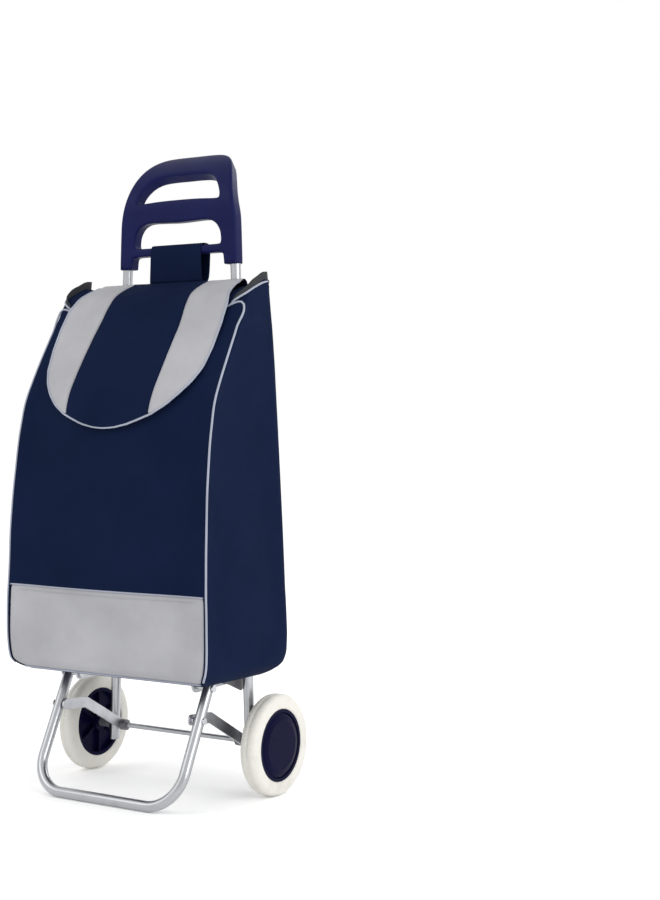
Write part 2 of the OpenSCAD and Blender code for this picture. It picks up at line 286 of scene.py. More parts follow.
def grid_faces(rows, cols, wrap=False, keep=None):
    """Quads of a rows x cols grid of vertices; keep(r, c) picks which."""
    out = []
    for r in range(rows - 1):
        for c in range(cols if wrap else cols - 1):
            if keep and not keep(r, c):
                continue
            c2 = (c + 1) % cols
            here, above = r * cols, (r + 1) * cols
            out.append((here + c, here + c2, above + c2, above + c))
    return out


def tidy_normals(ob):
    bm = bmesh.new()
    bm.from_mesh(ob.data)
    bmesh.ops.recalc_face_normals(bm, faces=bm.faces)
    bm.to_mesh(ob.data)
    bm.free()


def drop_loose(ob):
    """Removes vertices that no face uses."""
    bm = bmesh.new()
    bm.from_mesh(ob.data)
    bmesh.ops.delete(bm, geom=[v for v in bm.verts if not v.link_faces], context="VERTS")
    bm.to_mesh(ob.data)
    bm.free()


def apply_mods(ob):
    """Turns the object's modifiers into mesh."""
    deps = bpy.context.evaluated_depsgraph_get()
    me = bpy.data.meshes.new_from_object(ob.evaluated_get(deps))
    ob.modifiers.clear()
    ob.data = me


def solid(ob, thickness, offset=-1.0):
    """Gives a sheet mesh its thickness."""
    m = ob.modifiers.new("thick", "SOLIDIFY")
    m.thickness, m.offset, m.use_even_offset = thickness, offset, False
    apply_mods(ob)


def soften(ob):
    """One level of subdivision."""
    m = ob.modifiers.new("smooth", "SUBSURF")
    m.levels = m.render_levels = 1
    apply_mods(ob)


def tube(name, pts, r, segs=10):
    """Swept cord of radius r through pts, as a mesh with capped ends."""
    pts = [Vector(p) for p in pts]
    n = len(pts)
    verts, up = [], None
    for i, p in enumerate(pts):
        a = pts[i - 1] if i else p
        b = pts[i + 1] if i < n - 1 else p
        t = (b - a).normalized()
        if up is None:
            up = t.orthogonal().normalized()
        up = (up - t * up.dot(t)).normalized()
        side = t.cross(up)
        for k in range(segs):
            g = 2 * math.pi * k / segs
            verts.append(p + (up * math.cos(g) + side * math.sin(g)) * r)
    faces = grid_faces(n, segs, wrap=True)
    faces += [tuple(range(segs))[::-1], tuple((n - 1) * segs + k for k in range(segs))]
    ob = mesh_object(name, verts, faces)
    tidy_normals(ob)
    return ob


def catmull(a, b, c, d, t):
    """Catmull-Rom point between b and c, for t from 0 to 1."""
    square = (2 * a - 5 * b + 4 * c - d) * t**2
    cube = (3 * b - a - 3 * c + d) * t**3
    return 0.5 * (2 * b + (c - a) * t + square + cube)


def resample(pts, step):
    """Evenly spaced points along a polyline smoothed by Catmull-Rom."""
    p = np.array([tuple(q) for q in pts], float)
    ext = np.vstack([2 * p[0] - p[1], p, 2 * p[-1] - p[-2]])
    out = []
    for i in range(1, len(ext) - 2):
        for t in np.linspace(0, 1, 12, endpoint=False):
            out.append(catmull(*ext[i - 1 : i + 3], t))
    out.append(p[-1])
    out = np.array(out)
    s = np.concatenate([[0], np.cumsum(np.linalg.norm(np.diff(out, axis=0), axis=1))])
    n = max(2, int(round(s[-1] / step)) + 1)
    w = np.linspace(0, s[-1], n)
    return np.stack([np.interp(w, s, out[:, k]) for k in range(out.shape[1])], axis=1)


def finish_piece(ob, body, slot, *replaced):
    """Paints a piece with its slot's material, parents it to its body's empty and hides the CAD nodes it
    replaces.
    """
    paint(ob, slot)
    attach(ob, body)
    if replaced:
        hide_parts(*replaced)
    return ob


def join(name, parts):
    """Joins loose meshes into one object."""
    verts, faces = [], []
    for p in parts:
        base = len(verts)
        verts += [v.co.copy() for v in p.data.vertices]
        faces += [tuple(base + i for i in f.vertices) for f in p.data.polygons]
        bpy.data.objects.remove(p)
    return mesh_object(name, verts, faces)


# ---------------------------------------------------------------- bag form

# By height in millimetres: front line, half width, swell of front and sides, how far the sides
# hang back, and, by height again, how much the side tops are raised
FRONT = [
    (181, -170), (184, -178), (190, -185), (196, -190), (240, -192), (310, -191),
    (380, -189), (460, -184), (530, -175), (590, -161.5), (628, -141.5), (662, -122),
    (700, -100), (728, -84), (745, -73), (752, -58), (758, -41), (764, -22),
]
WIDTH = [
    (181, 172), (188, 178), (196, 182), (206, 185.5), (218, 187.5), (240, 188.5), (290, 187.5),
    (313, 186.5), (400, 185), (520, 182), (620, 179), (700, 177), (765, 173),
]
BULGE = [
    (181, 0), (200, 4), (260, 9), (330, 9), (420, 10), (500, 12),
    (560, 17), (610, 19), (660, 14), (710, 7), (740, 2), (765, 0),
]
SIDE_BULGE = [(181, 0), (220, 4), (300, 5), (450, 3), (600, 2), (720, 0), (776, 0)]
LOBE = [(183, 0), (189, 5), (198, 11), (214, 16), (250, 16), (353, 11.5), (643, -2.5), (750, -11), (776, -11)]
LIFT = [(0, 0), (718, 0), (745, 5), (764, 9.5)]
BACK_MM = -11.3
TOP_MM = 764
SEAM_MM = SEAM_Z / MM
FLOOR_MM = 183.5
EDGE_R = 20.0  # radius of the rounded bottom edge


def table(rows, z):
    """Value at height z in a table of (height, value)."""
    return float(np.interp(z, [r[0] for r in rows], [r[1] for r in rows]))


def smooth_table(rows, z):
    """The table's value, averaged over 28 mm where the wall has no tight curve."""
    if not 215 < z < 725:
        return table(rows, z)
    return sum(table(rows, z + d) for d in (-14, -7, 0, 7, 14)) / 5


def front_y(x, z):
    """Y in millimetres of the cloth front at x, z, bulging between its seams."""
    w = table(WIDTH, z)
    return smooth_table(FRONT, z) - table(BULGE, z) * max(0.0, 1 - (x / w) ** 2)


# Points of a ring: across the front, down each side, and divisions of each corner
NF, NS, NC = 44, 14, 5
BACK_X = list(np.linspace(150, 137, 7)) + list(np.linspace(131, -131, NF - 16))
BACK_X += list(np.linspace(-137, -150, 7))


def back_y(x, lobe, inset):
    """Y of the back panel: flat between the tubes, hanging back outside them."""
    t = min(1.0, max(0.0, (abs(x) - 138.5) / 8))
    return BACK_MM - inset + (lobe - BACK_MM) * t * t * (3 - 2 * t)


def ring(z, inset=0.0):
    """Cross-section of the bag at height z as a closed loop of (x, y) in mm."""
    full = table(WIDTH, z)
    w = full - inset
    yf = smooth_table(FRONT, z) + inset
    lobe = table(LOBE, z)
    yb = lobe - inset
    rf = min(5.0, (yb - yf) * 0.2)
    rb = min(9.0, (yb - yf) * 0.25)
    calm = max(0.0, 1 - inset / 30)
    bulge, side = table(BULGE, z) * calm, table(SIDE_BULGE, z) * calm
    pts = []
    for i in range(NF):
        x = -w + rf + (2 * w - 2 * rf) * i / (NF - 1)
        pts.append((x, yf - bulge * max(0.0, 1 - (x / w) ** 2)))
    corners = [
        ((w - rf, yf + rf), rf, -90),
        ((w - rb, yb - rb), rb, 0),
        ((-w + rb, yb - rb), rb, 90),
        ((-w + rf, yf + rf), rf, 180),
    ]
    for k, (c, r, a0) in enumerate(corners):
        for j in range(1, NC):
            a = math.radians(a0 + 90 * j / NC)
            pts.append((c[0] + r * math.cos(a), c[1] + r * math.sin(a)))
        if k == 0 or k == 2:
            s = 1 if k == 0 else -1
            y0, y1 = (yf + rf, yb - rb) if s > 0 else (yb - rb, yf + rf)
            for i in range(NS):
                t = i / (NS - 1)
                pts.append((s * (w + side * 4 * t * (1 - t)), y0 + (y1 - y0) * t))
        elif k == 1:
            xs = [w - rb] + [x * w / full for x in BACK_X] + [rb - w]
            pts += [(x, back_y(x * full / w, lobe, inset)) for x in xs]
    return pts


def wrinkle(x, y, z):
    """Soft creases: slack low down, pull lines from the upper corners."""
    low = math.exp(-(((z - 330) / 90) ** 2))
    up = math.exp(-(((z - 640) / 70) ** 2))
    a = 1.1 * low * math.sin(0.020 * x + 0.046 * z + 0.9 * math.sin(0.011 * z))
    b = 0.9 * up * math.sin(0.035 * abs(x) + 0.050 * z)
    c = 0.9 * math.sin(0.013 * x + 0.018 * z + 0.05 * y + 1.3)
    return a + b + c


def bag_levels():
    """Heights of the wall's rings, with one on the band's seam."""
    zs = list(np.linspace(204, SEAM_MM, 12))
    zs += list(np.linspace(SEAM_MM, 640, 36)[1:])
    zs += list(np.linspace(640, TOP_MM, 19)[1:])
    return zs


def build_bag():
    """The whole bag as one loft of rings: floor, rounded edge, walls."""
    rows, kinds = [], []
    for inset in (150, 110, 70, 40, EDGE_R):
        narrow = 1 - (inset - EDGE_R) / 190 * 0.9
        rows.append([(x * narrow, y, FLOOR_MM) for x, y in ring(196, min(inset, 86))])
        kinds.append("floor")
    for a in (20, 40, 60, 78):
        s = math.radians(a)
        inset = EDGE_R * (1 - math.sin(s))
        z = FLOOR_MM + EDGE_R * (1 - math.cos(s))
        rows.append([(x, y, z) for x, y in ring(max(z, 186), inset)])
        kinds.append("edge")
    for z in bag_levels():
        rows.append([(x, y, z) for x, y in ring(z)])
        kinds.append(z)
    n = len(rows[0])
    verts = []
    for row, kind in zip(rows, kinds):
        for k, (x, y, z) in enumerate(row):
            raised = 0
            if kind != "floor":
                if k < NF:
                    y -= wrinkle(x, y, z) * max(0.0, 1 - (abs(x) / 176) ** 6)
                elif NF + NC - 1 <= k < NF + NC - 1 + NS:
                    x += wrinkle(y * 1.5, x, z) * 0.9
                elif k >= n - NC + 1 - NS:
                    x -= wrinkle(y * 1.5 + 40, x, z) * 0.9
                raised = table(LIFT, z) * min(1.0, max(0.0, (abs(x) - 145) / 22))
            verts.append((x * MM, yy(y), (z + raised) * MM))
    faces = grid_faces(len(rows), n, wrap=True) + [tuple(range(n))[::-1]]
    ob = mesh_object("bag_cloth", verts, faces)
    tidy_normals(ob)
    return ob, rows, kinds, n


def puff(ob, pinned, pressure=2.2, cap=0.006, frames=20):
    """Runs a short pressure cloth simulation and keeps its result, capped."""
    rest = np.array([v.co for v in ob.data.vertices])
    vg = ob.vertex_groups.new(name="pin")
    for i in pinned:
        vg.add([i], 1.0, "REPLACE")
    c = ob.modifiers.new("cloth", "CLOTH")
    s = c.settings
    s.quality, s.mass = 5, 0.3
    s.tension_stiffness = s.compression_stiffness = 25
    s.bending_stiffness = 1.5
    s.use_pressure, s.uniform_pressure_force = True, pressure
    s.vertex_group_mass = "pin"
    s.effector_weights.gravity = 0.25
    c.point_cache.frame_start, c.point_cache.frame_end = 1, frames
    for f in range(1, frames + 1):
        bpy.context.scene.frame_set(f)
    deps = bpy.context.evaluated_depsgraph_get()
    ev = ob.evaluated_get(deps).to_mesh()
    now = np.array([v.co for v in ev.vertices])
    ob.evaluated_get(deps).to_mesh_clear()
    ob.modifiers.clear()
    bpy.context.scene.frame_set(1)
    move = now - rest
    d = np.linalg.norm(move, axis=1, keepdims=True)
    move *= np.minimum(1.0, cap / np.maximum(d, 1e-9))
    for v, q in zip(ob.data.vertices, rest + move):
        v.co = q
    ob.data.update()


bag, rows, kinds, ring_n = build_bag()
# Ring columns of the two piped front corners
front_right = NF + 1
front_left = ring_n - 2


def is_pinned(kind, k):
    """True where the cloth is held: bottom, front corners, round the mouth, and the back."""
    if kind in ("floor", "edge"):
        return True
    if NF - 1 <= k <= NF + 2 or k >= ring_n - 3 or k == 0:
        return True
    if kind > 700 or (kind > 650 and k < NF):
        return True
    return NF + NC + NS - 2 <= k <= ring_n - NS - NC - 1


def first_row(test):
    """Index of the first wall ring whose height in mm passes the test."""
    return min(i for i, k in enumerate(kinds) if not isinstance(k, str) and test(k))


pins = [
    ri * ring_n + k for ri, kind in enumerate(kinds) for k in range(ring_n) if is_pinned(kind, k)
]
puff(bag, pins)
cloth = np.array([v.co for v in bag.data.vertices]).reshape(len(rows), ring_n, 3)

edge_row = kinds.index("edge")
seam_row = first_row(lambda z: z >= SEAM_MM - 0.01)
mouth_row = first_row(lambda z: z > 652)
MOUTH_COLS = range(5, NF - 6)


def part_of(r, c):
    """Which piece the quad at row r, column c belongs to. The mouth is left open."""
    if c < NF - 1 and edge_row <= r < seam_row:
        return "band"
    if c in MOUTH_COLS and r >= mouth_row:
        return "mouth"
    return "body"


def cut_piece(name, part):
    """The quads of one part, as a mesh of its own."""

    def keep(r, c):
        return part_of(r, c) == part

    faces = grid_faces(len(rows), ring_n, wrap=True, keep=keep)
    if part == "body":
        faces.append(tuple(range(ring_n))[::-1])
    ob = mesh_object(name, cloth.reshape(-1, 3), faces)
    drop_loose(ob)
    tidy_normals(ob)
    return ob


body_cloth = cut_piece("bag_cloth_body", "body")
band_cloth = cut_piece("bag_cloth_band", "band")
bpy.data.objects.remove(bag)
for ob in (body_cloth, band_cloth):
    solid(ob, 0.0016)
    soften(ob)
finish_piece(body_cloth, "frame", "navy_fabric", "bag_body")
finish_piece(band_cloth, "frame", "grey_fabric", "bag_front_band")


def cloth_line(col, r0, r1, out):
    """Points up a column of the cloth, from row r0, pushed out a little."""
    return [cloth[r, col] + np.array(out) for r in range(r0, r1)]


def cloth_row(row, cols, out):
    """Points along a row of the cloth, pushed out a little."""
    return [cloth[row, c] + np.array(out) for c in cols]


def cord(points, radius):
    return tube("cord", resample(points, 0.006), radius)


# Seam round the mouth at one side, as (x, y, z) in mm: along the side panel's top edge, round the
# corner and in under the flap; the height of the lining at each point; and the front corner
# piping's own end, which hooks in below it
RIM = [
    (171.5, -13, 772), (172.5, -28, 769.5), (173.5, -42, 765), (174.5, -57, 759.5),
    (173.5, -68, 754), (170.5, -75, 749.5), (165.5, -79.5, 745.5), (159.5, -81.5, 741.5),
    (153, -81, 737), (145, -78, 732),
]
RIM_HEIGHT = [13.5, 14, 13.5, 12, 10.5, 9.0, 7.5, 5.5, 2.5, 0.6]
HOOK = [
    (178.3, -88.5, 719), (177.8, -85, 726), (176.3, -83, 732), (173.2, -82, 735.8),
    (168.5, -82, 737.2), (163, -82.7, 736.6), (157, -83.7, 734.6), (150, -84.5, 731.5),
    (143, -85, 728),
]


def on_side(points, side):
    """Points given as (x, y, z) in mm, in metres on one side of the bag."""
    return [(side * x * MM, yy(y), z * MM) for x, y, z in points]


def side_line(points, side):
    """A smooth line through such points."""
    return resample(on_side(points, side), 0.005)


PIPING_R = 0.0016
BAND_PIPING_R = 0.0012
hook_row = first_row(lambda z: z >= 712) - 1
piping = []
for side, col in ((1, front_right), (-1, front_left)):
    line = cloth_line(col, edge_row + 2, hook_row, (side * 0.0012, -0.0012, 0))
    piping.append(cord(line + on_side(HOOK, side), PIPING_R))
    mouth_seam = [(x + 1, y - 0.6, z - 1) for x, y, z in RIM]
    piping.append(tube("cord", side_line(mouth_seam, side), PIPING_R))
piping.append(cord(cloth_row(seam_row, range(NF), (0, -0.0006, 0)), BAND_PIPING_R))
piping.append(cord(cloth_row(edge_row + 1, range(NF), (0, -0.0004, -0.0006)), PIPING_R))
finish_piece(join("bag_cloth_piping", piping), "frame", "silver_piping", "bag_piping")

# Seams up the two back corners, in body cloth
binding = []
for side, col in ((1, NF + NC + NS + 1), (-1, ring_n - NC - NS - 2)):
    line = cloth_line(col, edge_row + 2, len(rows) - 1, (side * 0.0010, 0.0010, 0))
    binding.append(cord(line, 0.0017))
finish_piece(join("bag_back_binding", binding), "frame", "navy_fabric")

# Bound edge of the mouth: down one side, across and up the other
first_col, last_col = MOUTH_COLS[0], MOUTH_COLS[-1] + 1
mouth_edge = [cloth[r, first_col] for r in range(len(rows) - 2, mouth_row, -1)]
mouth_edge += [cloth[mouth_row, c] for c in range(first_col, last_col + 1)]
mouth_edge += [cloth[r, last_col] for r in range(mouth_row + 1, len(rows) - 1)]
mouth_binding = tube("bag_mouth_binding", resample(mouth_edge, 0.006), 0.0015)
finish_piece(mouth_binding, "frame", "lining_fabric")


def rim_strip():
    """Dark lining that stands up all along the mouth seam."""
    parts = []
    for side in (1, -1):
        line = side_line(RIM, side)
        n = len(line)
        known = np.linspace(0, 1, len(RIM_HEIGHT))
        heights = np.interp(np.linspace(0, 1, n), known, RIM_HEIGHT)
        verts = []
        for i, (p, h) in enumerate(zip(line, heights)):
            ahead = line[min(i + 1, n - 1)] - line[max(i - 1, 0)]
            inward = side * np.array((ahead[1], -ahead[0], 0.0))
            inward /= np.linalg.norm(inward)
            for f in (-0.25, 0.0, 0.3, 0.6, 0.85, 1.0):
                lean = inward * (0.10 * f * h + 0.5) * MM
                rise = (h * f + 0.5 * math.sin(i * 0.9)) * MM
                verts.append(p + lean + np.array((0, 0, rise)))
        ob = mesh_object("rim_side", verts, grid_faces(n, 6))
        solid(ob, 0.0018, 0.0)
        parts.append(ob)
    return join("bag_rim_lining", parts)


rim = rim_strip()
tidy_normals(rim)
finish_piece(rim, "frame", "lining_fabric", "bag_lining_rim")


# ---------------------------------------------------------------- flap

# Half width of the flap by height in mm, and the line it follows where it leaves the bag's front
FLAP_HALF = [
    (552, 0.5), (553.5, 20), (558, 42), (565, 63), (573, 83), (586, 104), (603, 122), (620, 136),
    (640, 146), (670, 151), (704, 152), (734, 150), (756, 142), (768, 136), (775, 134),
]
FLAP_LINE = [
    (546, -181), (589, -171), (631, -149), (666, -128), (703, -107), (733, -89.5),
    (753, -73.5), (763, -56), (769.5, -40), (774, -28), (775.3, -20),
]
# Where the navy centre meets a stripe: its half width, by height
STRIPE_HALF = [(700, 78.0), (775, 71)]
CLOTH_T = 0.0022


def flap_at(x, z):
    """Point of the flap cloth at x and z in mm: it lies on the bag and turns over the ridge."""
    line = table(FLAP_LINE, z - 3) + 2 * table(FLAP_LINE, z) + table(FLAP_LINE, z + 3)
    line = line / 4
    lying = front_y(x, min(z, 728)) - 4.0
    t = min(1.0, max(0.0, (z - 690) / 35))
    y = min(lying, line) * (1 - t) + line * t
    edge = max(0.0, abs(x) / max(table(FLAP_HALF, z), 1) - 0.8) / 0.2
    ripple = 0.8 * math.sin(0.03 * z + 0.02 * x) + 0.5 * math.sin(0.05 * x)
    calm = min(1.0, max(0.0, (770 - z) / 25))
    return np.array((x * MM, yy(y + 1.2 * edge**2 + (ripple - 1.0) * calm), z * MM))


FLAP_Z = list(775.2 - 7 * np.linspace(0, 1, 7) ** 1.5) + list(np.linspace(765, 558, 42))
FLAP_Z += [555.5, 553.6, 552.2]


def flap_rows(inner, outer):
    """Rows of (z, x from, x to) where the strip between two edges has width."""
    return [(z, inner(z), outer(z)) for z in FLAP_Z if outer(z) - inner(z) > 0.25]


def half(z):
    return table(FLAP_HALF, z)


def stripe(z):
    return min(table(STRIPE_HALF, z), half(z))


def flap_piece(name, inner, outer, cols, slot, *replaced):
    """One panel of the flap, between two edges given as x by height."""
    rows_here = flap_rows(inner, outer)
    grid = np.array([
        [flap_at(a + (b - a) * c / (cols - 1), z) for c in range(cols)] for z, a, b in rows_here
    ])
    ob = mesh_object(name, grid.reshape(-1, 3), grid_faces(len(rows_here), cols))
    tidy_normals(ob)
    solid(ob, CLOTH_T, 0.0)
    soften(ob)
    return finish_piece(ob, "flap", slot, *replaced)


flap_piece("flap_centre", lambda z: -stripe(z), stripe, 33, "navy_fabric", "flap_panel")
flap_piece("flap_stripe_left", lambda z: -half(z), lambda z: -stripe(z), 11, "grey_fabric")
flap_piece("flap_stripe_right", stripe, half, 11, "grey_fabric")

HINGE_HALF = 0.134
# Up the back panel and over its top, as (y from the axle, z) in mm
HINGE_PATH = [
    (-10.2, 748), (-10.6, 758), (-11.6, 766.5), (-14.5, 772.4), (-18.5, 775.0), (-23, 775.2),
]


def hinge_cloth():
    """Back edge of the flap, sewn to the top of the back panel."""
    line = resample([(0.0, yy(y), z * MM) for y, z in HINGE_PATH], 0.0022)
    across = np.linspace(-HINGE_HALF, HINGE_HALF, 49)
    verts = [
        (x, p[1], p[2] + 0.0004 * math.sin(9 * x / HINGE_HALF)) for p in line for x in across
    ]
    ob = mesh_object("flap_hinge_cloth", verts, grid_faces(len(line), len(across)))
    tidy_normals(ob)
    solid(ob, 0.0016, 0.0)
    paint(ob, "navy_fabric")
    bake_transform(ob)


hinge_cloth()

border = [flap_at(-half(z), z) for z in FLAP_Z[4:]]
border += [flap_at(half(z), z) for z in FLAP_Z[:3:-1]]
border = resample([p + np.array((0, -0.0008, 0)) for p in border], 0.005)
flap_edge = join("flap_edge_piping", [tube("cord", border, PIPING_R)])
finish_piece(flap_edge, "flap", "silver_piping", "flap_piping")


STITCH_STEP, STITCH_LEN, STITCH_R = 0.0042, 0.0026, 0.00032
STITCH_RINGS = ((-1, 0.2), (-0.5, 1.0), (0.5, 1.0), (1, 0.2))  # (place, fullness) along a thread
STITCH_SEGS = 5


def stitches(name, line, body, slot, out):
    """A row of short raised threads along a line."""
    pts = resample(line, STITCH_STEP)
    n = STITCH_SEGS
    verts, faces = [], []
    for a, b in zip(pts[:-1], pts[1:]):
        d = (b - a) / np.linalg.norm(b - a)
        m = (a + b) / 2 + np.array(out)
        side = np.cross(d, np.array(out) / np.linalg.norm(out))
        up = np.cross(side, d)
        base = len(verts)
        for s, f in STITCH_RINGS:
            for k in range(n):
                g = 2 * math.pi * k / n
                spoke = (side * math.cos(g) + up * math.sin(g)) * STITCH_R * (0.5 + f * 0.7)
                verts.append(m + d * STITCH_LEN / 2 * s + spoke)
        walls = grid_faces(len(STITCH_RINGS), n, wrap=True)
        faces += [tuple(base + i for i in f) for f in walls]
        last = base + (len(STITCH_RINGS) - 1) * n
        faces.append(tuple(base + k for k in range(n))[::-1])
        faces.append(tuple(last + k for k in range(n)))
    ob = mesh_object(name, verts, faces)
    tidy_normals(ob)
    return finish_piece(ob, body, slot)


for tag, side in (("left", -1), ("right", 1)):
    line = [flap_at(side * (stripe(z) + 2), z) for z in FLAP_Z if 577 < z < 772]
    stitches("flap_stitch_" + tag, line, "flap", "silver_piping", (0, -0.0012, 0.0006))
line = [cloth[seam_row - 1, c] + np.array((0, 0, 0.002)) for c in range(2, NF - 2)]
stitches("bag_stitch_band", line, "frame", "grey_fabric", (0, -0.0010, 0))


# ---------------------------------------------------------------- hanging loop

def build_loop():
    """Cloth band that hangs over the handle's lower bar."""
    lo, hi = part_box("bag_loop")
    x0, x1 = lo[0] + 0.0005, hi[0] - 0.0005
    yf, yb = lo[1] + 0.0020, hi[1] - 0.0012
    z1 = hi[2] - 0.0012
    up_front = [(yf + 0.0002, 0.7768), (yf, 0.782), (yf, 0.797), (yf, z1 - 0.014)]
    over = [(yf + 0.0015, z1 - 0.004), (yf + 0.006, z1), (yb - 0.006, z1), (yb - 0.0015, z1 - 0.004)]
    down_back = [
        (yb, z1 - 0.014), (yb - 0.004, 0.786), (yb - 0.011, 0.776), (yb - 0.017, 0.767),
        (yy(-8.9), 0.757),
    ]
    path = up_front + over + down_back
    line = resample([(0.0, p[0], p[1]) for p in path], 0.0035)
    verts, cols = [], 25
    for i, p in enumerate(line):
        for j in range(cols):
            u = -1 + 2 * j / (cols - 1)
            taper = 0.0015 * math.sin(math.pi * i / len(line))
            x = (x0 + x1) / 2 + u * ((x1 - x0) / 2 - taper)
            soft = 0.0002 * math.sin(2.5 * u + i * 0.35)
            verts.append((x, p[1] + soft, p[2]))
    ob = mesh_object("loop_cloth", verts, grid_faces(len(line), cols))
    tidy_normals(ob)
    solid(ob, 0.0018, 0.0)
    return finish_piece(ob, "frame", "navy_fabric", "bag_loop")


build_loop()


# ---------------------------------------------------------------- handle

def closed_smooth(pts, per):
    """A closed Catmull-Rom curve through pts, with per points to a span."""
    p = np.array(pts, float)
    n, out = len(p), []
    for i in range(n):
        a, b, c, d = p[(i - 1) % n], p[i], p[(i + 1) % n], p[(i + 2) % n]
        for t in np.linspace(0, 1, per, endpoint=False):
            out.append(catmull(a, b, c, d, t))
    return out


def mirror_half(pts):
    """The right half of an outline and its mirror image."""
    return pts + [(-x, z) for x, z in reversed(pts) if x > 0.01]


# Above CURL_Z the flat outline is bent back round a circle of radius CURL_R. All in mm
CURL_Z, CURL_R, HANDLE_Y = 886.86, 96.0, -2.0
HANDLE_HALF_T, HANDLE_BEVEL = 11.0, 4.6
# Right half of the moulding's outline and of its two windows, as (x, height before the bend)
HANDLE_OUT = [
    (0, 990), (32, 990), (52, 987.5), (67, 980.5), (79, 968.5), (89, 951), (97, 930), (104, 905),
    (109.4, 880), (111, 858), (111.7, 838), (112.3, 820), (112.6, 806), (112.2, 802),
    (108.6, 801.2), (101, 801), (93, 801.2), (89.6, 802), (89, 806), (88.2, 813), (86.5, 818),
    (80, 820), (60, 820.3), (30, 820.3), (0, 820.3),
]
UPPER_WIN = [
    (0, 946), (26, 946), (46, 944), (60, 937.5), (70, 926.5), (76.5, 914.5), (78.5, 907),
    (76.5, 903.6), (66, 903.2), (36, 904.6), (0, 905),
]
LOWER_WIN = [
    (0, 870.5), (30, 871.5), (50, 872), (63, 870.5), (74, 864.5), (81, 854), (83.2, 843),
    (82.6, 836), (79, 833.8), (60, 833.3), (30, 833.3), (0, 833.3),
]


def bend_handle(v):
    """Moves one vertex of the flat handle, in mm, to its place on the trolley, in metres."""
    x, flat_z, t = v.co
    t = -t
    if flat_z <= CURL_Z:
        y, z = HANDLE_Y + t, flat_z
    else:
        a = (flat_z - CURL_Z) / CURL_R
        y = HANDLE_Y + CURL_R - (CURL_R - t) * math.cos(a)
        z = CURL_Z + (CURL_R - t) * math.sin(a)
    v.co = (x * MM, yy(y), z * MM)


def build_handle():
    """The moulding as a bevelled plate with two windows, cut across so that it can bend."""
    cu = bpy.data.curves.new("handle_outline", "CURVE")
    cu.dimensions, cu.fill_mode = "2D", "BOTH"
    for outline in (HANDLE_OUT, UPPER_WIN, LOWER_WIN):
        pts = closed_smooth(mirror_half(outline), 5)
        sp = cu.splines.new("POLY")
        sp.points.add(len(pts) - 1)
        for q, p in zip(sp.points, pts):
            q.co = (p[0], p[1], 0, 1)
        sp.use_cyclic_u = True
    cu.extrude = HANDLE_HALF_T - HANDLE_BEVEL
    cu.bevel_depth, cu.bevel_resolution, cu.offset = HANDLE_BEVEL, 4, -HANDLE_BEVEL
    tmp = add_object("handle_tmp", cu)
    deps = bpy.context.evaluated_depsgraph_get()
    me = bpy.data.meshes.new_from_object(tmp.evaluated_get(deps))
    bpy.data.objects.remove(tmp)
    bm = bmesh.new()
    bm.from_mesh(me)
    bmesh.ops.remove_doubles(bm, verts=bm.verts, dist=0.01)
    for z in list(np.arange(815, 887, 12)) + list(np.arange(888, 986, 4.5)):
        geom = bm.verts[:] + bm.edges[:] + bm.faces[:]
        bmesh.ops.bisect_plane(
            bm, geom=geom, plane_co=(0, z, 0), plane_no=(0, 1, 0), dist=0.001
        )
    for v in bm.verts:
        bend_handle(v)
    bmesh.ops.recalc_face_normals(bm, faces=bm.faces)
    me2 = bpy.data.meshes.new("handle_grip")
    bm.to_mesh(me2)
    bm.free()
    ob = add_object("handle_moulding", me2)
    shade_smooth(me2)
    m = ob.modifiers.new("normals", "WEIGHTED_NORMAL")
    m.keep_sharp = False
    m.weight = 100
    apply_mods(ob)
    return finish_piece(ob, "frame", "navy_handle", "handle")


build_handle()


# ---------------------------------------------------------------- tyres

TYRE_IN_R = 0.0540
SHOULDER_R = 0.0088
TYRE_SEGS = 288


def tyre_profile(half_w, outer):
    """Half section of a tyre as (radius, place across), from one bead to the other."""
    prof = [
        (TYRE_IN_R, -half_w + 0.0022),
        (TYRE_IN_R + 0.0012, -half_w + 0.0006),
        (TYRE_IN_R + 0.004, -half_w),
    ]
    prof += [(outer - 0.011 + 0.0005 * i, -half_w) for i in range(2)]
    for deg in range(-90, 1, 15):
        a = math.radians(deg)
        r = outer - SHOULDER_R + SHOULDER_R * math.cos(a)
        prof.append((r, -half_w + SHOULDER_R + SHOULDER_R * math.sin(a)))
    tread = [(outer, -half_w + SHOULDER_R + (half_w - SHOULDER_R) * 2 * i / 8) for i in range(1, 8)]
    return prof + tread + [(r, -s) for r, s in prof[::-1]]


def build_tyre(node, body, name):
    """Foam tyre with a slanted tread, a centre groove and ribbed side walls."""
    lo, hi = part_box(node)
    cx, cz = (lo[0] + hi[0]) / 2, (lo[2] + hi[2]) / 2
    half_w, R = (hi[0] - lo[0]) / 2, (hi[2] - lo[2]) / 2
    prof = tyre_profile(half_w, R)
    n = TYRE_SEGS
    verts = []
    for k in range(n):
        g = 2 * math.pi * k / n
        for r, s in prof:
            if r > R - 0.0035:
                zig = 3.0 if s > 0 else -3.0
                tread = math.sin(72 * g + zig * s * 260)
                r = r - 0.0006 * (1 if tread > 0.15 else 0) - (0.0007 if abs(s) < 0.0012 else 0)
            elif TYRE_IN_R + 0.006 < r < R - 0.006:
                s = s - math.copysign(0.0003, s) * (1 if math.sin(96 * g) > 0.3 else 0)
            verts.append((cx + s, AXLE_Y + r * math.cos(g), cz + r * math.sin(g)))
    faces = grid_faces(n, len(prof))
    m = len(prof)
    faces += [((n - 1) * m + i, (n - 1) * m + i + 1, i + 1, i) for i in range(m - 1)]
    for k in range(n):
        here, ahead = k * m, ((k + 1) % n) * m
        faces.append((here + m - 1, here, ahead, ahead + m - 1))
    ob = mesh_object(name, verts, faces)
    tidy_normals(ob)
    return finish_piece(ob, body, "white_tyre", node)


build_tyre("left_tyre", "left_wheel", "tyre_left")
build_tyre("right_tyre", "right_wheel", "tyre_right")


# ---------------------------------------------------------------- base board

